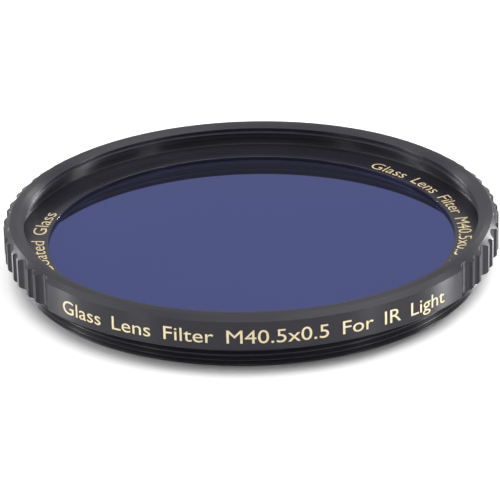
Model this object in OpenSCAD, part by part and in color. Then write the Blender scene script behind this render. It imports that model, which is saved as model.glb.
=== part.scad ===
// Screw-in round lens filter for infrared work.
// One turned ring carries the glass: the glass seats under a lip from behind,
// and a threaded retaining ring holds it there. The filter rests on the end of
// its rear thread, with its front side up and the smooth label band towards -Y.

/* [Threads] */
// Nominal diameter of the front and rear filter threads
thread_d = 40.5; // [37:0.5:82]
// Pitch of the filter threads
thread_pitch = 0.5; // [0.4:0.05:0.75]
// Length of the rear thread below the body
rear_thread_len = 2.2; // [1.6:0.1:3]
// Width of the run-out groove between the rear thread and the body
rear_relief_w = 0.4; // [0.3:0.05:0.6]
// Lead-in bevel at the end of the rear thread
rear_lead_in = 0.15; // [0.1:0.05:0.3]

/* [Ring body] */
// Wall from the nominal thread radius out to the grip
rim_wall = 1.5; // [1.3:0.05:3]
// Height of the body, from its shoulder to its front face
body_h = 2.95; // [2.8:0.05:5]
// Radial width of the bevel round the front face
front_bevel_w = 0.58; // [0.4:0.02:0.7]
// Height of the bevel round the front face
front_bevel_h = 0.35; // [0.2:0.05:0.6]
// Bevel at the lower edge of the grip
shoulder_bevel = 0.12; // [0.06:0.02:0.3]
// Height of the cone that leads into the front thread
mouth_cone_h = 0.22; // [0.1:0.02:0.4]
// Width of the flat front face between the bevel and the mouth cone
front_face_w = 0.6; // [0.5:0.02:0.7]

/* [Front recess] */
// Depth from the front face down to the outer edge of the lettered face
recess_depth = 2.1; // [1.8:0.05:2.3]
// Height of the run-out groove under the front thread
front_relief_h = 0.9; // [0.8:0.05:1.2]
// Radial depth of that groove beyond the nominal thread radius
front_relief_w = 0.4; // [0.2:0.05:0.5]
// Radius of the fillet between that groove and the lettered face
recess_fillet = 0.22; // [0.1:0.02:0.3]
// Radial width of the lettered face, from the front thread's crest to the lip
face_w = 2.06; // [1.8:0.02:2.6]
// Fall of the lettered face from its outer edge to the lip
face_drop = 0.12; // [0:0.02:0.2]
// Thickness of the lip at its free edge
lip_t = 0.33; // [0.25:0.01:0.5]
// Bevel along the free edge of the lip
lip_bevel = 0.1; // [0.05:0.01:0.15]

/* [Glass] */
// Radial width of glass held under the lip
glass_seat_w = 0.92; // [0.7:0.02:0.95]
// Thickness of the glass
glass_t = 1.3; // [1:0.05:1.5]
// Ground bevel round both edges of the glass
glass_bevel = 0.12; // [0.05:0.01:0.2]
// Radial clearance round the glass
glass_gap = 0.1; // [0.05:0.01:0.15]

/* [Retaining ring] */
// Height of the retaining ring
keeper_h = 0.95; // [0.7:0.05:1.1]
// Radial depth of the retaining ring's thread beyond the glass pocket
keeper_thread_w = 0.3; // [0.2:0.02:0.4]
// Radial clearance between the retaining ring and its thread
keeper_gap = 0.05; // [0.02:0.01:0.1]
// Radial step by which its opening is wider than the lip
keeper_step = 0.1; // [0:0.02:0.3]
// Width of each spanner notch
notch_w = 1.6; // [1:0.1:3]
// Depth of each spanner notch
notch_depth = 0.45; // [0.3:0.05:0.6]
// Number of spanner notches
notch_count = 2; // [2:2:4]
// Bevel on the rear edges of the retaining ring
keeper_bevel = 0.1; // [0.05:0.01:0.15]

/* [Grip] */
// Width of the wide flutes
wide_flute_w = 1.85; // [1.6:0.01:2]
// Width of the narrow flutes
narrow_flute_w = 1.04; // [0.9:0.01:1.3]
// Depth of the wide flutes, from the ridges
wide_flute_depth = 0.48; // [0.3:0.01:0.52]
// Depth of the narrow flutes, from the ridges
narrow_flute_depth = 0.33; // [0.2:0.01:0.4]
// Width of the land left on each ridge
ridge_land = 0.36; // [0.2:0.01:0.5]
// Smallest arc of the smooth label band at the front, in degrees
label_arc = 107; // [60:1:180]
// How far the flute cutter runs past both faces of the body
cutter_overrun = 0.2; // [0.1:0.05:0.3]

/* [Hidden] */
$fn = 192;
// Basic thread profile: crest of the inner thread and root of the outer one
nominal_r = thread_d / 2;
front_crest_r = nominal_r - 0.5413 * thread_pitch;
rear_root_r = nominal_r - 0.6134 * thread_pitch;
// Heights, from the end of the rear thread upwards
shoulder_z = rear_thread_len;
front_z = shoulder_z + body_h;
recess_z = front_z - recess_depth;
lip_top_z = recess_z - face_drop;
glass_top_z = lip_top_z - lip_t;
glass_z = glass_top_z - glass_t;
keeper_z = glass_z - keeper_h;
// Radii, from the grip inwards
grip_r = nominal_r + rim_wall;
front_outer_r = grip_r - front_bevel_w;
front_inner_r = front_outer_r - front_face_w;
front_relief_r = nominal_r + front_relief_w;
lip_r = front_crest_r - face_w;
glass_r = lip_r + glass_seat_w;
pocket_r = glass_r + glass_gap;
keeper_bore_r = pocket_r + keeper_thread_w;
keeper_r = keeper_bore_r - keeper_gap;
keeper_opening_r = lip_r + keeper_step;
// The keeper's thread runs a little past the glass's rear face
keeper_bore_h = glass_z + 0.15;
// Angles of the grip, measured at the ridges
function arc_of(w) = 2 * asin(w / 2 / grip_r);
wide_arc = arc_of(wide_flute_w);
narrow_arc = arc_of(narrow_flute_w);
flute_step = (wide_arc + narrow_arc) / 2 + arc_of(ridge_land);
side_flutes = floor((180 - label_arc / 2 - wide_arc / 2) / flute_step);

// Points of the quarter fillet that runs from an outer wall down onto a floor
function corner_fillet(wall_r, floor_z, r, steps = 8) =
    [for (i = [0 : steps])
        let (a = -90 * i / steps)
        [wall_r - r + r * cos(a), floor_z + r + r * sin(a)]];

// Half section of the turned ring before its grip is cut
module ring_section() {
    polygon(concat(
        [[keeper_bore_r, 0],
         [nominal_r - rear_lead_in, 0],
         [nominal_r, rear_lead_in],
         [nominal_r, shoulder_z - rear_relief_w],
         [rear_root_r, shoulder_z - rear_relief_w],
         [rear_root_r, shoulder_z],
         [grip_r - shoulder_bevel, shoulder_z],
         [grip_r, shoulder_z + shoulder_bevel],
         [grip_r, front_z - front_bevel_h],
         [front_outer_r, front_z],
         [front_inner_r, front_z],
         [front_crest_r, front_z - mouth_cone_h],
         [front_crest_r, recess_z + front_relief_h],
         [front_relief_r, recess_z + front_relief_h]],
        corner_fillet(front_relief_r, recess_z, recess_fillet),
        [[lip_r + lip_bevel, lip_top_z],
         [lip_r, lip_top_z - lip_bevel],
         [lip_r, glass_top_z],
         [pocket_r, glass_top_z],
         [pocket_r, keeper_bore_h],
         [keeper_bore_r, keeper_bore_h]]));
}

// One upright flute: a cutter that meets the grip at the flute's two edges
// and reaches the given depth half way between them
module flute_cut(w, depth) {
    chord_r = sqrt(pow(grip_r, 2) - pow(w / 2, 2));
    sag = chord_r - (grip_r - depth);
    cutter_r = (pow(w / 2, 2) + pow(sag, 2)) / (2 * sag);
    translate([0, grip_r - depth + cutter_r, shoulder_z - cutter_overrun])
        cylinder(r = cutter_r, h = body_h + 2 * cutter_overrun);
}

// Wide and narrow flutes by turns, the same on both sides of the back,
// with a wide one beside each end of the label band
module grip_cuts() {
    for (k = [-side_flutes : side_flutes]) {
        is_wide = (side_flutes - abs(k)) % 2 == 0;
        rotate([0, 0, k * flute_step])
            if (is_wide) flute_cut(wide_flute_w, wide_flute_depth);
            else flute_cut(narrow_flute_w, narrow_flute_depth);
    }
}

module filter_ring() {
    color("#2c2c31")
        difference() {
            rotate_extrude() ring_section();
            grip_cuts();
        }
}

module filter_glass() {
    color("#545a86")
        rotate_extrude()
            polygon([
                [0, glass_z],
                [glass_r - glass_bevel, glass_z],
                [glass_r, glass_z + glass_bevel],
                [glass_r, glass_top_z - glass_bevel],
                [glass_r - glass_bevel, glass_top_z],
                [0, glass_top_z]]);
}

module retaining_ring() {
    color("#232327")
        difference() {
            rotate_extrude()
                polygon([
                    [keeper_opening_r + keeper_bevel, keeper_z],
                    [keeper_r - keeper_bevel, keeper_z],
                    [keeper_r, keeper_z + keeper_bevel],
                    [keeper_r, glass_z],
                    [keeper_opening_r, glass_z],
                    [keeper_opening_r, keeper_z + keeper_bevel]]);
            for (k = [0 : notch_count - 1])
                rotate([0, 0, k * 360 / notch_count])
                    translate([keeper_opening_r - 1, -notch_w / 2, keeper_z - 1])
                        cube([keeper_r - keeper_opening_r + 2, notch_w, notch_depth + 1]);
        }
}

filter_ring();
filter_glass();
retaining_ring();
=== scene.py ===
import math
from functools import partial
import bpy
import bmesh
from mathutils import Matrix, Vector


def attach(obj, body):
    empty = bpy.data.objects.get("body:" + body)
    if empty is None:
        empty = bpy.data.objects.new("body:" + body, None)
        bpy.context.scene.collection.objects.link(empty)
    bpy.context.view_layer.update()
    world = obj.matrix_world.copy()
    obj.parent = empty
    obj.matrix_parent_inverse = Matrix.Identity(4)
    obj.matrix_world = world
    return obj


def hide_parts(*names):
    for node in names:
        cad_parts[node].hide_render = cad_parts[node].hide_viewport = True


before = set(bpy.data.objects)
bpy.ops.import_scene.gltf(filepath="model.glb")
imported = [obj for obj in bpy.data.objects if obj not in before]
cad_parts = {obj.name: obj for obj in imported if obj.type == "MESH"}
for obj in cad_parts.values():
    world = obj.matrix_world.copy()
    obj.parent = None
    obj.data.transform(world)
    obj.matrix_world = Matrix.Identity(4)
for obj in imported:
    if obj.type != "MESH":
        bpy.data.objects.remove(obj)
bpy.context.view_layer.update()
mm = 0.001
samePoint, lostEdge = 0.0005 * mm, 0.0002 * mm  # nearer points are merged, shorter edges dissolved
scene = bpy.context.scene


# helpers for the node trees

def plug(tree, socket, value):
    # a socket is linked, a plain number or colour is written on the input
    if isinstance(value, bpy.types.NodeSocket):
        tree.links.new(value, socket)
    elif value is not None:
        socket.default_value = value


def maths(tree, operation, a, b=None, c=None):
    node = tree.nodes.new("ShaderNodeMath")
    node.operation = operation
    for socket, value in zip(node.inputs, (a, b, c)):
        plug(tree, socket, value)
    return node.outputs[0]


def xyz(tree, x, y, z):
    node = tree.nodes.new("ShaderNodeCombineXYZ")
    for socket, value in zip(node.inputs, (x, y, z)):
        plug(tree, socket, value)
    return node.outputs[0]


def startTree(name, numbers):
    # a geometry tree with one named input for each size
    tree = bpy.data.node_groups.new(name, "GeometryNodeTree")
    tree.interface.new_socket("Section", in_out="INPUT", socket_type="NodeSocketGeometry")
    tree.interface.new_socket("Shape", in_out="OUTPUT", socket_type="NodeSocketGeometry")
    for label, value in numbers.items():
        kind = "NodeSocketInt" if isinstance(value, int) else "NodeSocketFloat"
        tree.interface.new_socket(label, in_out="INPUT", socket_type=kind).default_value = value
    given = tree.nodes.new("NodeGroupInput")
    return tree, given.outputs


def endTree(tree, shape, material):
    real = tree.nodes.new("GeometryNodeRealizeInstances")
    tree.links.new(shape, real.inputs[0])
    finish = tree.nodes.new("GeometryNodeSetMaterial")
    tree.links.new(real.outputs[0], finish.inputs["Geometry"])
    finish.inputs["Material"].default_value = material
    out = tree.nodes.new("NodeGroupOutput")
    tree.links.new(finish.outputs[0], out.inputs[0])


def sweepGrid(tree, given, columns):
    # a grid with one column for each station round the ring and one row for each
    # section point, and the section point that each grid point takes its place from
    size = tree.nodes.new("GeometryNodeAttributeDomainSize")
    tree.links.new(given["Section"], size.inputs[0])
    rows = maths(tree, "ADD", size.outputs["Point Count"], 1)
    grid = tree.nodes.new("GeometryNodeMeshGrid")
    plug(tree, grid.inputs["Vertices X"], columns)
    plug(tree, grid.inputs["Vertices Y"], rows)
    index = tree.nodes.new("GeometryNodeInputIndex").outputs[0]
    column = maths(tree, "FLOOR", maths(tree, "DIVIDE", maths(tree, "ADD", index, 0.5), rows))
    row = maths(tree, "SUBTRACT", index, maths(tree, "MULTIPLY", column, rows))
    wrapped = maths(tree, "MODULO", maths(tree, "ADD", row, 0.5), size.outputs["Point Count"])
    place = tree.nodes.new("GeometryNodeSampleIndex")
    place.data_type = "FLOAT_VECTOR"
    tree.links.new(given["Section"], place.inputs["Geometry"])
    tree.links.new(tree.nodes.new("GeometryNodeInputPosition").outputs[0], place.inputs["Value"])
    plug(tree, place.inputs["Index"], maths(tree, "FLOOR", wrapped))
    parts = tree.nodes.new("ShaderNodeSeparateXYZ")
    tree.links.new(place.outputs[0], parts.inputs[0])
    return grid.outputs["Mesh"], column, parts.outputs["X"], parts.outputs["Y"], parts.outputs["Z"]


def placePoints(tree, mesh, radius, angle, height):
    # angle runs from the back, clockwise from above
    moved = tree.nodes.new("GeometryNodeSetPosition")
    tree.links.new(mesh, moved.inputs["Geometry"])
    spot = xyz(tree, maths(tree, "MULTIPLY", radius, maths(tree, "SINE", angle)),
               maths(tree, "MULTIPLY", radius, maths(tree, "COSINE", angle)), height)
    plug(tree, moved.inputs["Position"], spot)
    merged = tree.nodes.new("GeometryNodeMergeByDistance")
    tree.links.new(moved.outputs[0], merged.inputs["Geometry"])
    merged.inputs["Distance"].default_value = samePoint
    return merged.outputs[0]


# helpers for the meshes

def meshOf(holder):
    return bpy.data.meshes.new_from_object(holder.evaluated_get(bpy.context.evaluated_depsgraph_get()))


def coat(piece, material):
    piece.data.materials.clear()
    piece.data.materials.append(material)


def sweepSection(name, points, tree, values, sharpest):
    # points are (radius, height, rise) in mm: rise is how fast a flute's end climbs there
    mesh = bpy.data.meshes.new(name)
    mesh.from_pydata([(r * mm, rise, z * mm) for r, z, rise in points],
                     [(i, (i + 1) % len(points)) for i in range(len(points))], [])
    holder = bpy.data.objects.new(name + "Section", mesh)
    scene.collection.objects.link(holder)
    modifier = holder.modifiers.new("sweep", "NODES")
    modifier.node_group = tree
    for item in tree.interface.items_tree:
        if item.in_out == "INPUT" and item.name in values:
            modifier[item.identifier] = values[item.name]
    shape = meshOf(holder)
    holder.modifiers.remove(modifier)
    bpy.data.objects.remove(holder)
    return finishedPiece(name, shape, sharpest)


def finishedPiece(name, mesh, sharpest=30):
    work = bmesh.new()
    work.from_mesh(mesh)
    bmesh.ops.remove_doubles(work, verts=work.verts, dist=samePoint)
    bmesh.ops.dissolve_degenerate(work, edges=work.edges, dist=lostEdge)
    bmesh.ops.recalc_face_normals(work, faces=work.faces)
    for face in work.faces:
        face.smooth = True
    for edge in work.edges:
        edge.smooth = edge.calc_face_angle(math.pi) < math.radians(sharpest)
    work.to_mesh(mesh)
    work.free()
    mesh.name = name
    piece = bpy.data.objects.new(name, mesh)
    scene.collection.objects.link(piece)
    return piece


def rounded(corners, steps=4):
    # a closed section from corners of (radius, height, rounding), with a small arc where one is rounded
    out = []
    for i, (x, z, r) in enumerate(corners):
        if not r:
            out.append((x, z))
            continue
        corner = Vector((x, z))
        before = (Vector(corners[i - 1][:2]) - corner).normalized()
        after = (Vector(corners[(i + 1) % len(corners)][:2]) - corner).normalized()
        half = before.angle(after) / 2
        reach = r / math.tan(half)
        centre = corner + (before + after).normalized() * (r / math.sin(half))
        a, b = corner + before * reach - centre, corner + after * reach - centre
        turn = a.angle_signed(b)
        for k in range(steps + 1):
            t = -turn * k / steps
            out.append((centre.x + a.x * math.cos(t) - a.y * math.sin(t),
                        centre.y + a.x * math.sin(t) + a.y * math.cos(t)))
    return out


# materials

def newMaterial(name):
    material = bpy.data.materials.new(name)
    material.use_nodes = True
    tree = material.node_tree
    return material, tree, tree.nodes["Principled BSDF"]


def objectSpot(tree):
    return tree.nodes.new("ShaderNodeTexCoord").outputs["Object"]


def grain(tree, spot, scale, detail=3):
    node = tree.nodes.new("ShaderNodeTexNoise")
    node.inputs["Scale"].default_value = scale
    node.inputs["Detail"].default_value = detail
    tree.links.new(spot, node.inputs["Vector"])
    return node.outputs[0]


def spread(tree, value, low, high, start=0.3, end=0.7):
    node = tree.nodes.new("ShaderNodeMapRange")
    for label, number in (("From Min", start), ("From Max", end), ("To Min", low), ("To Max", high)):
        node.inputs[label].default_value = number
    tree.links.new(value, node.inputs["Value"])
    return node.outputs[0]


def twoTones(tree, shader, share, first, second):
    # the base colour goes from the first to the second with the share, in the node's colour sockets
    tone = tree.nodes.new("ShaderNodeMix")
    tone.data_type = "RGBA"
    tone.inputs[6].default_value = (*first, 1)
    tone.inputs[7].default_value = (*second, 1)
    tree.links.new(share, tone.inputs[0])
    tree.links.new(tone.outputs[2], shader.inputs["Base Color"])


def turnedMarks(tree, spot, fineness):
    # noise that depends on radius and height only, so its lines run round the ring
    parts = tree.nodes.new("ShaderNodeSeparateXYZ")
    tree.links.new(spot, parts.inputs[0])
    radius = maths(tree, "SQRT", maths(tree, "ADD", maths(tree, "POWER", parts.outputs["X"], 2),
                                       maths(tree, "POWER", parts.outputs["Y"], 2)))
    lines = grain(tree, xyz(tree, radius, parts.outputs["Z"], 0), fineness, detail=2)
    return lines, radius, parts.outputs["Z"]


def anodisedBlack(name, look):
    material, tree, shader = newMaterial(name)
    spot = objectSpot(tree)
    lines, radius, height = turnedMarks(tree, spot, look["turning"])
    twoTones(tree, shader, spread(tree, grain(tree, spot, look["cloud"]), 0, 1), look["deep"], look["pale"])
    roughness = spread(tree, lines, *look["roughness"])
    if "recess" in look:
        # the recessed face under the front thread is finished smoother than the rest
        above = spread(tree, height, look["recess"], 1, *(z * mm for z in look["recessTop"]))
        outside = spread(tree, radius, look["recess"], 1, *(r * mm for r in look["recessEdge"]))
        roughness = maths(tree, "MULTIPLY", roughness, maths(tree, "MAXIMUM", above, outside))
    tree.links.new(roughness, shader.inputs["Roughness"])
    shader.inputs["Specular IOR Level"].default_value = look["gloss"]
    # the lathe's fine lines draw each highlight out across them
    shader.inputs["Anisotropic"].default_value = look["stretch"]
    shader.inputs["Anisotropic Rotation"].default_value = look["stretchTurn"]
    around = tree.nodes.new("ShaderNodeTangent")
    around.direction_type, around.axis = "RADIAL", "Z"
    tree.links.new(around.outputs[0], shader.inputs["Tangent"])
    rise = maths(tree, "ADD", maths(tree, "MULTIPLY", lines, look["lineDepth"]),
                 maths(tree, "MULTIPLY", grain(tree, spot, look["pits"], detail=4), look["pitDepth"]))
    bump = tree.nodes.new("ShaderNodeBump")
    bump.inputs["Distance"].default_value = look["relief"] * mm
    tree.links.new(rise, bump.inputs["Height"])
    tree.links.new(bump.outputs[0], shader.inputs["Normal"])
    return material


# noise scales are per metre, and the relief and the recess's heights and radii are in mm
ringLook = {"deep": (0.0146, 0.0142, 0.0205), "pale": (0.0178, 0.0172, 0.0245), "cloud": 260,
            "turning": 9000, "pits": 14000, "lineDepth": 0.5, "pitDepth": 0.5, "relief": 0.004,
            "roughness": (0.36, 0.42), "gloss": 0.34, "stretch": 0.95, "stretchTurn": 0.25,
            "recess": 0.45, "recessTop": (3.3, 3.9), "recessEdge": (18.8, 20.5)}
keeperLook = {"deep": (0.012, 0.012, 0.013), "pale": (0.02, 0.02, 0.022), "cloud": 300,
              "turning": 7000, "pits": 12000, "lineDepth": 0.5, "pitDepth": 0.5, "relief": 0.005,
              "roughness": (0.5, 0.6), "gloss": 0.4, "stretch": 0.4, "stretchTurn": 0.25}
ringFinish = anodisedBlack("ringBlackAnodise", ringLook)
keeperFinish = anodisedBlack("keeperBlackAnodise", keeperLook)

glassLook = {"body": (0.02, 0.021, 0.031), "bodyPale": (0.024, 0.025, 0.035), "cloud": 40,
             "mirror": (0.18, 0.25, 1.0), "ior": 3.1, "roughness": (0.02, 0.035)}


def coatedGlass(name, look):
    # the coating mirrors the room in blue, and the dark glass behind it lets nothing through
    material, tree, shader = newMaterial(name)
    cloud = grain(tree, objectSpot(tree), look["cloud"], detail=2)
    twoTones(tree, shader, spread(tree, cloud, 0, 1), look["body"], look["bodyPale"])
    tree.links.new(spread(tree, cloud, *look["roughness"]), shader.inputs["Roughness"])
    shader.inputs["IOR"].default_value = look["ior"]
    shader.inputs["Specular Tint"].default_value = (*look["mirror"], 1)
    return material


glassFinish = coatedGlass("filterGlassCoated", glassLook)

bandPrintLook = {"gold": (0.9, 0.78, 0.5), "brown": (0.68, 0.52, 0.26), "speckle": 3000,
                 "mostBrown": 0.4, "roughness": 0.45}
# the face's letters take the band's gold ink darkened: painted shade on the recessed face
facePrintShadedLook = {"gold": (0.8, 0.66, 0.38), "brown": (0.5, 0.38, 0.18), "speckle": 3000,
                 "mostBrown": 0.4, "roughness": 0.45}


def goldPrint(name, look):
    material, tree, shader = newMaterial(name)
    speckle = grain(tree, objectSpot(tree), look["speckle"], detail=2)
    twoTones(tree, shader, spread(tree, speckle, 0, look["mostBrown"]), look["gold"], look["brown"])
    shader.inputs["Roughness"].default_value = look["roughness"]
    return material


bandPrintFinish = goldPrint("letterGoldInk", bandPrintLook)
facePrintShadedFinish = goldPrint("faceLetterGoldInkPaintedShade", facePrintShadedLook)
print("materials ready")


# the filter thread of both sides, in mm like all sizes of the pieces

thread = {"nominalR": 20.25, "pitch": 0.5, "innerDepth": 0.271, "outerDepth": 0.307}
innerCrestR = thread["nominalR"] - thread["innerDepth"]
outerRootR = thread["nominalR"] - thread["outerDepth"]


# the ring: a section swept round, with the flutes cut by rule

ring = {"wall": 1.5, "shoulderZ": 2.2, "bodyH": 2.95,  # the body outside and above the rear thread
        "bevelW": 0.58, "bevelH": 0.35, "lowBevel": 0.12, "faceW": 0.6,  # its bevels and flat face
        "mouthCone": 0.22, "mouthLand": 0.05, "mouthFlank": 0.156,  # the way into the front thread
        "recess": 2.1, "faceDrop": 0.12, "fillet": 0.22,  # the lettered face, which falls to the lip
        "reliefW": 0.4, "reliefH": 0.9,  # the groove between that face and the thread
        "lipR": 17.92, "lipThick": 0.33, "pocketW": 1.02, "glassThick": 1.3,  # what holds the glass
        "keeperThread": 0.3, "boreOver": 0.15,  # the retaining ring's bore, past the glass
        "leadIn": 0.15, "endLand": 0.06, "endFlank": 0.177,  # the end of the rear thread
        "threadEdge": 0.02, "mouthEdge": 0.015, "bodyEdge": 0.05,  # small roundings
        "rimEdge": 0.04, "lipEdge": 0.06, "seatEdge": 0.03,
        "wideW": 1.85, "narrowW": 1.04, "land": 0.36, "wideDepth": 0.48, "narrowDepth": 0.33,
        "labelArc": 107, "fluteFrom": 0.02,  # the label band's least arc, and how far out the flutes begin
        "acrossFlute": 12, "acrossLabel": 108, "sharpest": 14}  # steps of the mesh, and its sharp edges
gripR = thread["nominalR"] + ring["wall"]
frontOuterR = gripR - ring["bevelW"]
reliefR = thread["nominalR"] + ring["reliefW"]
pocketR = ring["lipR"] + ring["pocketW"]
keeperBoreR = pocketR + ring["keeperThread"]
frontZ = ring["shoulderZ"] + ring["bodyH"]
floorZ = frontZ - ring["recess"]
lipZ = floorZ - ring["faceDrop"]
glassTop = lipZ - ring["lipThick"]
glassBack = glassTop - ring["glassThick"]


def ringPoints(s):
    nominalR, shoulderZ = thread["nominalR"], s["shoulderZ"]
    mouthZ = frontZ - s["mouthCone"]
    boreTop = glassBack + s["boreOver"]
    threadEdge, bodyEdge, rimEdge = s["threadEdge"], s["bodyEdge"], s["rimEdge"]
    # from the retaining ring's bore round the rear thread, the grip and the recess, back to the bore
    corners = [
        (keeperBoreR, 0, 0), (nominalR - s["leadIn"], 0, threadEdge), (nominalR, s["leadIn"], threadEdge),
        (nominalR, s["leadIn"] + s["endLand"], threadEdge),
        (outerRootR, s["leadIn"] + s["endLand"] + s["endFlank"], 0), (outerRootR, shoulderZ, bodyEdge),
        (gripR - s["lowBevel"], shoulderZ, rimEdge), (gripR, shoulderZ + s["lowBevel"], bodyEdge),
        (gripR, frontZ - s["bevelH"], bodyEdge), (frontOuterR, frontZ, bodyEdge),
        (frontOuterR - s["faceW"], frontZ, rimEdge), (innerCrestR, mouthZ, threadEdge),
        (innerCrestR, mouthZ - s["mouthLand"], s["mouthEdge"]),
        (nominalR, mouthZ - s["mouthLand"] - s["mouthFlank"], 0), (nominalR, floorZ + s["reliefH"], 0),
        (reliefR, floorZ + s["reliefH"], 0), (reliefR, floorZ, s["fillet"]),
        (s["lipR"], lipZ, s["lipEdge"]), (s["lipR"], glassTop, s["seatEdge"]),
        (pocketR, glassTop, 0), (pocketR, boreTop, 0), (keeperBoreR, boreTop, 0)]
    # a flute's end climbs with the front bevel, and runs straight down through the shoulder
    climb = s["bevelH"] / s["bevelW"]
    points = []
    for r, z in rounded(corners):
        onGrip = r > frontOuterR + s["fluteFrom"]
        inFront = z > (shoulderZ + frontZ) / 2
        points.append((r, z, 0 if not onGrip else climb if inFront else -1))
    return points


def arcOf(width):
    return 2 * math.asin(width / 2 / gripR)


def sideFlutes(s):
    # as many flutes on each side of the back as leave the label band its arc
    step = (arcOf(s["wideW"]) + arcOf(s["narrowW"])) / 2 + arcOf(s["land"])
    return int((math.pi - math.radians(s["labelArc"]) / 2 - arcOf(s["wideW"]) / 2) / step)


def fluteTree():
    sizes = ("Shoulder height", "Wide arc", "Narrow arc", "Land arc",
             "Wide cutter", "Wide cutter place", "Narrow cutter", "Narrow cutter place")
    counts = ("Side flutes", "Steps across", "Label steps")
    tree, given = startTree("flutedRing", {**dict.fromkeys(sizes, 0.0), **dict.fromkeys(counts, 1)})
    m = partial(maths, tree)
    perFlute = m("ADD", given["Steps across"], 1)
    flutes = m("ADD", m("MULTIPLY", given["Side flutes"], 2), 1)
    fluted = m("MULTIPLY", flutes, perFlute)
    mesh, column, r, rise, z = sweepGrid(tree, given, m("ADD", fluted, given["Label steps"]))
    step = m("ADD", m("MULTIPLY", m("ADD", given["Wide arc"], given["Narrow arc"]), 0.5), given["Land arc"])
    # which flute, and how far across it
    number = m("FLOOR", m("DIVIDE", m("ADD", column, 0.5), perFlute))
    across = m("SUBTRACT", column, m("MULTIPLY", number, perFlute))
    k = m("SUBTRACT", number, given["Side flutes"])
    fromLabel = m("SUBTRACT", given["Side flutes"], m("ABSOLUTE", k))
    # every second one is wide, from the label band's edge on
    wide = m("LESS_THAN", m("MODULO", m("ADD", fromLabel, 0.25), 2), 1)

    def choose(a, b):
        return m("ADD", m("MULTIPLY", wide, a), m("MULTIPLY", m("SUBTRACT", 1, wide), b))

    half = m("MULTIPLY", choose(given["Wide arc"], given["Narrow arc"]), 0.5)
    side = m("SUBTRACT", m("DIVIDE", m("MULTIPLY", across, 2), given["Steps across"]), 1)
    local = m("MULTIPLY", half, side)
    fluteAngle = m("ADD", m("MULTIPLY", k, step), local)
    # the smooth band takes the rest of the turn
    edge = m("ADD", m("MULTIPLY", given["Side flutes"], step), m("MULTIPLY", given["Wide arc"], 0.5))
    band = m("SUBTRACT", 2 * math.pi, m("MULTIPLY", edge, 2))
    along = m("DIVIDE", m("ADD", m("SUBTRACT", column, fluted), 1), given["Label steps"])
    bandAngle = m("ADD", edge, m("MULTIPLY", band, along))
    onBand = m("GREATER_THAN", column, m("SUBTRACT", fluted, 0.5))
    angle = m("ADD", m("MULTIPLY", onBand, bandAngle), m("MULTIPLY", m("SUBTRACT", 1, onBand), fluteAngle))
    # distance of the cutter's wall from the axis
    place = choose(given["Wide cutter place"], given["Narrow cutter place"])
    cutter = choose(given["Wide cutter"], given["Narrow cutter"])
    sideways = m("MULTIPLY", place, m("SINE", local))
    wall = m("SUBTRACT", m("MULTIPLY", place, m("COSINE", local)),
             m("SQRT", m("SUBTRACT", m("POWER", cutter, 2), m("POWER", sideways, 2))))
    wall = m("ADD", wall, onBand)  # past every radius on the smooth band
    newR = m("MINIMUM", r, wall)
    newZ = m("MAXIMUM", m("ADD", z, m("MULTIPLY", rise, m("SUBTRACT", r, newR))),
             m("MINIMUM", z, given["Shoulder height"]))
    endTree(tree, placePoints(tree, mesh, newR, angle, newZ), ringFinish)
    return tree


def cutterOf(width, depth):
    # the round-nosed cutter that leaves this width and depth: its radius, and its place from the axis
    sag = math.sqrt(gripR ** 2 - (width / 2) ** 2) - (gripR - depth)
    radius = ((width / 2) ** 2 + sag ** 2) / (2 * sag)
    return radius * mm, (gripR - depth + radius) * mm


wideCutter, widePlace = cutterOf(ring["wideW"], ring["wideDepth"])
narrowCutter, narrowPlace = cutterOf(ring["narrowW"], ring["narrowDepth"])
ringBody = sweepSection("filterRingBody", ringPoints(ring), fluteTree(), {
    "Shoulder height": ring["shoulderZ"] * mm, "Land arc": arcOf(ring["land"]),
    "Wide arc": arcOf(ring["wideW"]), "Narrow arc": arcOf(ring["narrowW"]),
    "Wide cutter": wideCutter, "Wide cutter place": widePlace,
    "Narrow cutter": narrowCutter, "Narrow cutter place": narrowPlace,
    "Side flutes": sideFlutes(ring), "Steps across": ring["acrossFlute"],
    "Label steps": ring["acrossLabel"]}, ring["sharpest"])
print("ring body", len(ringBody.data.polygons), "faces")


# threads: ridges that run round the ring on a helix

def threadTree(name, material):
    sizes = ("Turns", "Pitch", "First angle", "First height", "Base radius", "Taper")
    tree, given = startTree(name, {**dict.fromkeys(sizes, 1.0), "Stations": 1})
    m = partial(maths, tree)
    mesh, column, r, _, z = sweepGrid(tree, given, m("ADD", given["Stations"], 1))
    along = m("DIVIDE", column, given["Stations"])
    turned = m("MULTIPLY", m("MULTIPLY", given["Turns"], along), 2 * math.pi)
    endwise = m("MINIMUM", m("MULTIPLY", along, given["Turns"]),
                m("MULTIPLY", m("SUBTRACT", 1, along), given["Turns"]))
    full = m("MINIMUM", m("DIVIDE", endwise, given["Taper"]), 1)
    radius = m("ADD", given["Base radius"], m("MULTIPLY", m("SUBTRACT", r, given["Base radius"]), full))
    height = m("SUBTRACT", m("ADD", given["First height"], m("MULTIPLY", z, full)),
               m("MULTIPLY", m("MULTIPLY", given["Pitch"], given["Turns"]), along))
    angle = m("ADD", given["First angle"], turned)
    endTree(tree, placePoints(tree, mesh, radius, angle, height), material)
    return tree


def ridgePoints(rootR, crestR, sink=0.03, crest=0.07, edge=0.02):
    # one thread ridge of 60 degrees, as (radius, height from its middle, 0), its base sunk in the wall
    toCrest = 1 if crestR > rootR else -1
    flank = abs(crestR - rootR) * math.tan(math.radians(30))
    base = crest / 2 + flank
    under = rootR - toCrest * sink
    corners = [(under, -base, 0), (rootR, -base, 0), (crestR, -crest / 2, edge),
               (crestR, crest / 2, edge), (rootR, base, 0), (under, base, 0)]
    if toCrest < 0:
        corners.reverse()
    return [(r, z, 0) for r, z in rounded(corners, steps=2)]


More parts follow.
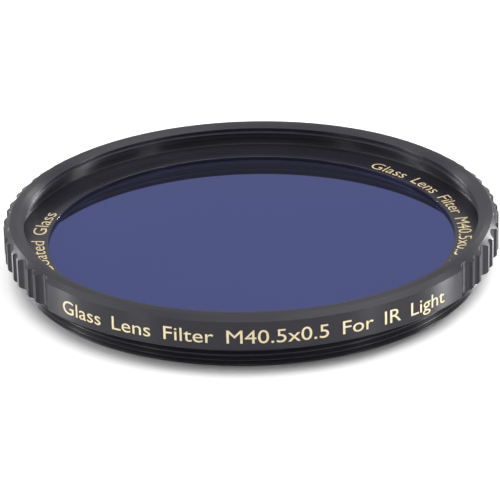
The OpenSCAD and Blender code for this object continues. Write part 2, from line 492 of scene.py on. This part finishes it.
# the first angle is in degrees from the back, and the taper at each end is in turns
frontThread = {"rootR": thread["nominalR"], "crestR": innerCrestR, "turns": 1.11, "firstAngle": 160,
               "firstZ": 4.708, "taper": 0.08, "perTurn": 300, "sharpest": 30}
rearThread = {"rootR": outerRootR, "crestR": thread["nominalR"], "turns": 2.75, "firstAngle": 144,
              "firstZ": 1.64, "taper": 0.08, "perTurn": 300, "sharpest": 30}


def cutThread(name, t, material):
    return sweepSection(name, ridgePoints(t["rootR"], t["crestR"]), threadTree(name, material), {
        "Turns": t["turns"], "Pitch": thread["pitch"] * mm, "First angle": math.radians(t["firstAngle"]),
        "First height": t["firstZ"] * mm, "Base radius": t["rootR"] * mm, "Taper": t["taper"],
        "Stations": int(t["turns"] * t["perTurn"])}, t["sharpest"])


frontRidge = cutThread("frontThreadRidge", frontThread, ringFinish)
rearRidge = cutThread("rearThreadRidge", rearThread, ringFinish)
print("threads", len(frontRidge.data.polygons) + len(rearRidge.data.polygons), "faces")


# the retaining ring, with its two spanner notches

keeper = {"step": 0.1, "gap": 0.05, "height": 0.95, "bevel": 0.1, "edge": 0.02, "stations": 360,
          "notchW": 1.6, "notchDepth": 0.45, "notches": 2, "toolLength": 3, "toolPlace": 0.6,
          "toolBelow": 1, "sharpest": 25}


def keeperBody(k):
    # its top face meets the glass, its opening clears the lip and its thread clears the bore
    openR, outR = ring["lipR"] + k["step"], keeperBoreR - k["gap"]
    lowZ, bevel, edge = glassBack - k["height"], k["bevel"], k["edge"]
    section = rounded([(openR + bevel, lowZ, edge), (outR - bevel, lowZ, edge),
                       (outR, lowZ + bevel, edge), (outR, glassBack, 0),
                       (openR, glassBack, 0), (openR, lowZ + bevel, edge)], steps=2)
    work = bmesh.new()
    rows = []
    for i in range(k["stations"]):
        a = 2 * math.pi * i / k["stations"]
        rows.append([work.verts.new((r * mm * math.cos(a), r * mm * math.sin(a), z * mm))
                     for r, z in section])
    for i, row in enumerate(rows):
        after = rows[(i + 1) % len(rows)]
        for j in range(len(row)):
            work.faces.new((row[j], after[j], after[(j + 1) % len(row)], row[(j + 1) % len(row)]))
    bmesh.ops.recalc_face_normals(work, faces=work.faces)
    mesh = bpy.data.meshes.new("keeperBlank")
    work.to_mesh(mesh)
    work.free()
    blank = bpy.data.objects.new("keeperBlank", mesh)
    scene.collection.objects.link(blank)
    tools = []
    # each notch's cutter runs past the ring inwards, outwards and below
    deep = k["notchDepth"] + k["toolBelow"]
    toolSize = Vector((k["toolLength"], k["notchW"], deep)) * mm
    toolPlace = Vector((openR + k["toolPlace"], 0, lowZ - k["toolBelow"] + deep / 2)) * mm
    for n in range(k["notches"]):
        tool = bmesh.new()
        bmesh.ops.create_cube(tool, size=1)
        bmesh.ops.scale(tool, vec=toolSize, verts=tool.verts)
        bmesh.ops.translate(tool, vec=toolPlace, verts=tool.verts)
        bmesh.ops.rotate(tool, verts=tool.verts, cent=(0, 0, 0),
                         matrix=Matrix.Rotation(2 * math.pi * n / k["notches"], 3, "Z"))
        toolMesh = bpy.data.meshes.new("notchTool")
        tool.to_mesh(toolMesh)
        tool.free()
        cutter = bpy.data.objects.new("notchTool", toolMesh)
        scene.collection.objects.link(cutter)
        cut = blank.modifiers.new("notch", "BOOLEAN")
        cut.operation, cut.solver, cut.object = "DIFFERENCE", "EXACT", cutter
        tools.append(cutter)
    shape = meshOf(blank)
    for spare in [blank, *tools]:
        bpy.data.objects.remove(spare)
    return finishedPiece("retainingRingBody", shape, k["sharpest"])


keeperPiece = keeperBody(keeper)
coat(keeperPiece, keeperFinish)
print("retaining ring", len(keeperPiece.data.polygons), "faces")


# printed words: plain ones that any such filter may carry

# spans are in degrees, from the front on the band and from the back on the face
words = {"kind": "Glass Lens Filter M40.5x0.5 For IR Light", "coat": "Coated Glass",
         "bandSpan": (-48.1, 47.0), "bandZ": 3.5, "bandCap": 1.27, "bandWeight": 0.0,
         "rightSpan": (37.7, 141.7), "leftSpan": (249, 289), "faceR": 18.25, "faceCap": 1.25,
         "faceWeight": -0.004, "raised": 0.012, "gap": 1.6, "capital": 0.73, "smoothness": 4}


def flatWords(text, capHeight, length, weight):
    # letters as solids 1 thick, their baseline at 0 and their middle at x = 0, in mm along and up
    curve = bpy.data.curves.new("words", "FONT")
    curve.body = text
    curve.offset = weight
    curve.space_word = words["gap"]
    curve.resolution_u = words["smoothness"]
    curve.extrude = 0.5
    holder = bpy.data.objects.new("words", curve)
    scene.collection.objects.link(holder)
    mesh = meshOf(holder)
    bpy.data.objects.remove(holder)
    low = min(v.co.x for v in mesh.vertices)
    wide = max(v.co.x for v in mesh.vertices) - low
    tall = capHeight / words["capital"]
    return mesh, [((v.co.x - low) / wide * length - length / 2, v.co.y * tall, v.co.z)
                  for v in mesh.vertices]


def wordsOnBand():
    # half of each letter's thickness is sunk in the band
    a0, a1 = (math.radians(a) for a in words["bandSpan"])
    mesh, spots = flatWords(words["kind"], words["bandCap"], (a1 - a0) * gripR, words["bandWeight"])
    for v, (x, y, z) in zip(mesh.vertices, spots):
        a = (a0 + a1) / 2 + x / gripR
        reach = gripR + z * 2 * words["raised"]
        v.co = (reach * math.sin(a) * mm, -reach * math.cos(a) * mm,
                (words["bandZ"] + y - words["bandCap"] / 2) * mm)
    return finishedPiece("bandWords", mesh)


def wordsOnFace(name, text, start, end):
    middleR = words["faceR"] + words["faceCap"] / 2
    slope = ring["faceDrop"] / (reliefR - ring["lipR"])
    a0, a1 = math.radians(start), math.radians(end)
    mesh, spots = flatWords(text, words["faceCap"], (a1 - a0) * middleR, words["faceWeight"])
    for v, (x, y, z) in zip(mesh.vertices, spots):
        a = (a0 + a1) / 2 + x / middleR
        r = words["faceR"] + y
        surface = lipZ + (r - ring["lipR"]) * slope
        v.co = (r * math.sin(a) * mm, r * math.cos(a) * mm, (surface + z * 2 * words["raised"]) * mm)
    return finishedPiece(name, mesh)


bandWords = wordsOnBand()
rightWords = wordsOnFace("faceWordsRight", words["kind"], *words["rightSpan"])
leftWords = wordsOnFace("faceWordsLeft", words["coat"], *words["leftSpan"])
coat(bandWords, bandPrintFinish)
coat(rightWords, facePrintShadedFinish)
coat(leftWords, facePrintShadedFinish)
print("words ready")


# the glass keeps its own solid

coat(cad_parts["filter_glass"], glassFinish)

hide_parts("filter_ring")
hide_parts("retaining_ring")
for piece in (ringBody, frontRidge, rearRidge, keeperPiece, bandWords, rightWords, leftWords):
    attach(piece, "root")


# studio

# the floor's white begins between paintedShadowFadeFrom and paintedShadowFadeTo, in mm from the middle:
# within them it fades out towards the filter, a painted shadow round its foot
studio = {"floorColour": 0.82, "floorHalf": 3, "floorRoughness": 0.9, "floorGloss": 0.1,
          "floorLift": 0.35, "paintedShadowFadeFrom": 21.4, "paintedShadowFadeTo": 23.1, "paintedShadowSideFactor": 1.08, "paintedShadowLeftShift": 0.3,
          "room": (0.0, 0.4), "mirroredRoom": (1.0, 0.66), "roomSpan": (-0.7, 0.5)}


def mirrorRays(tree, path):
    return maths(tree, "MAXIMUM", path.outputs["Is Glossy Ray"], path.outputs["Is Transmission Ray"])


def whiteFloor():
    mesh = bpy.data.meshes.new("studioFloor")
    h = studio["floorHalf"]
    mesh.from_pydata([(-h, -h, 0), (h, -h, 0), (h, h, 0), (-h, h, 0)], [], [(0, 1, 2, 3)])
    floor = bpy.data.objects.new("studioFloor", mesh)
    scene.collection.objects.link(floor)
    material, tree, shader = newMaterial("floorWhite")
    shader.inputs["Base Color"].default_value = (studio["floorColour"],) * 3 + (1,)
    shader.inputs["Roughness"].default_value = studio["floorRoughness"]
    shader.inputs["Specular IOR Level"].default_value = studio["floorGloss"]
    # white to the eye and in mirrors, but held back round the filter's foot, which paints its shadow there,
    # narrower at the sides and wider on the left
    lift = tree.nodes.new("ShaderNodeEmission")
    path = tree.nodes.new("ShaderNodeLightPath")
    seen = maths(tree, "MAXIMUM", path.outputs["Is Camera Ray"], mirrorRays(tree, path))
    moved = tree.nodes.new("ShaderNodeVectorMath")
    moved.operation = "MULTIPLY_ADD"
    moved.inputs[1].default_value = (studio["paintedShadowSideFactor"], 1, 1)
    moved.inputs[2].default_value = (studio["paintedShadowLeftShift"] * mm, 0, 0)
    tree.links.new(objectSpot(tree), moved.inputs[0])
    reach = tree.nodes.new("ShaderNodeVectorMath")
    reach.operation = "LENGTH"
    tree.links.new(moved.outputs[0], reach.inputs[0])
    # the lift is nil inside the painted shadow and full past it
    outside = spread(tree, reach.outputs["Value"], 0, studio["floorLift"],
                     studio["paintedShadowFadeFrom"] * mm, studio["paintedShadowFadeTo"] * mm)
    tree.links.new(maths(tree, "MULTIPLY", seen, outside), lift.inputs["Strength"])
    both = tree.nodes.new("ShaderNodeAddShader")
    tree.links.new(shader.outputs[0], both.inputs[0])
    tree.links.new(lift.outputs[0], both.inputs[1])
    tree.links.new(both.outputs[0], tree.nodes["Material Output"].inputs["Surface"])
    mesh.materials.append(material)


def whiteRoom():
    # white to the eye, pale in mirrors and dim as light, each from its front level to its back level
    world = bpy.data.worlds.new("studioRoom")
    world.use_nodes = True
    tree = world.node_tree
    path = tree.nodes.new("ShaderNodeLightPath")
    parts = tree.nodes.new("ShaderNodeSeparateXYZ")
    tree.links.new(tree.nodes.new("ShaderNodeTexCoord").outputs["Generated"], parts.inputs[0])
    level = spread(tree, parts.outputs["Y"], *studio["room"], *studio["roomSpan"])
    inMirrors = spread(tree, parts.outputs["Y"], *studio["mirroredRoom"], *studio["roomSpan"])
    for rays, strength in ((mirrorRays(tree, path), inMirrors), (path.outputs["Is Camera Ray"], 1)):
        level = maths(tree, "ADD", maths(tree, "MULTIPLY", rays, strength),
                      maths(tree, "MULTIPLY", level, maths(tree, "SUBTRACT", 1, rays)))
    tree.links.new(level, tree.nodes["Background"].inputs["Strength"])
    tree.nodes["Background"].inputs["Color"].default_value = (1, 1, 1, 1)
    scene.world = world


# azimuth runs from the camera's side to the right, and height is in degrees above the floor
lamps = {"overhead": {"azimuth": 180, "height": 88, "distance": 0.6, "size": 1.0, "power": 2.2},
         "frontHigh": {"azimuth": 0, "height": 60, "distance": 0.5, "size": 0.4, "power": 0.55},
         "rightHigh": {"azimuth": 90, "height": 60, "distance": 0.5, "size": 0.4, "power": 1.05},
         "leftMiddle": {"azimuth": -90, "height": 35, "distance": 0.5, "size": 0.4, "power": 0.85},
         "rightFront": {"azimuth": 50, "height": 4, "distance": 0.5, "size": 0.065, "power": 0.36},
         "leftFront": {"azimuth": -50, "height": 4, "distance": 0.5, "size": 0.065, "power": 0.21},
         "right": {"azimuth": 90, "height": 3, "distance": 0.5, "size": 0.05, "power": 1.7},
         "left": {"azimuth": -90, "height": 3, "distance": 0.5, "size": 0.05, "power": 0.8},
         "rightBack": {"azimuth": 135, "height": 4, "distance": 0.5, "size": 0.065, "power": 2.0},
         "leftBack": {"azimuth": -130, "height": 4, "distance": 0.5, "size": 0.065, "power": 1.2}}


def softLamps():
    for name, lamp in lamps.items():
        data = bpy.data.lights.new(name, "AREA")
        data.shape = "DISK"
        data.size = lamp["size"]
        data.energy = lamp["power"]
        holder = bpy.data.objects.new(name, data)
        scene.collection.objects.link(holder)
        holder.visible_camera = False
        turn, height = math.radians(lamp["azimuth"]), math.radians(lamp["height"])
        place = lamp["distance"] * Vector((math.cos(height) * math.sin(turn),
                                           -math.cos(height) * math.cos(turn), math.sin(height)))
        holder.location = place
        holder.rotation_mode = "QUATERNION"
        holder.rotation_quaternion = place.to_track_quat("Z", "Y")


# lengths in metres, angles in degrees, and the lens and sensor in mm
camera = {"distance": 0.3, "height": 24.31, "roll": 1.4717, "side": -0.00016, "rise": 0.00149,
          "turn": -0.7, "lens": 244.489, "sensor": 36, "near": 0.01, "far": 20}


def photoCamera():
    data = bpy.data.cameras.new("photoCamera")
    data.lens = camera["lens"]
    data.sensor_width = camera["sensor"]
    holder = bpy.data.objects.new("photoCamera", data)
    scene.collection.objects.link(holder)
    e, roll, turn = (math.radians(camera[k]) for k in ("height", "roll", "turn"))
    right = Vector((1, 0, 0))
    up = Vector((0, math.sin(e), math.cos(e)))
    back = Vector((0, -math.cos(e), math.sin(e)))
    place = back * camera["distance"] + Vector((camera["side"], 0, camera["rise"]))
    camX = right * math.cos(roll) - up * math.sin(roll)
    camY = right * math.sin(roll) + up * math.cos(roll)
    axes = Matrix((camX, camY, back)).transposed()
    holder.matrix_world = Matrix.Rotation(turn, 4, "Z") @ Matrix.Translation(place) @ axes.to_4x4()
    scene.camera = holder
    data.clip_start, data.clip_end = camera["near"], camera["far"]


whiteFloor()
whiteRoom()
softLamps()
photoCamera()
scene.view_settings.view_transform = "Standard"
print("studio ready")
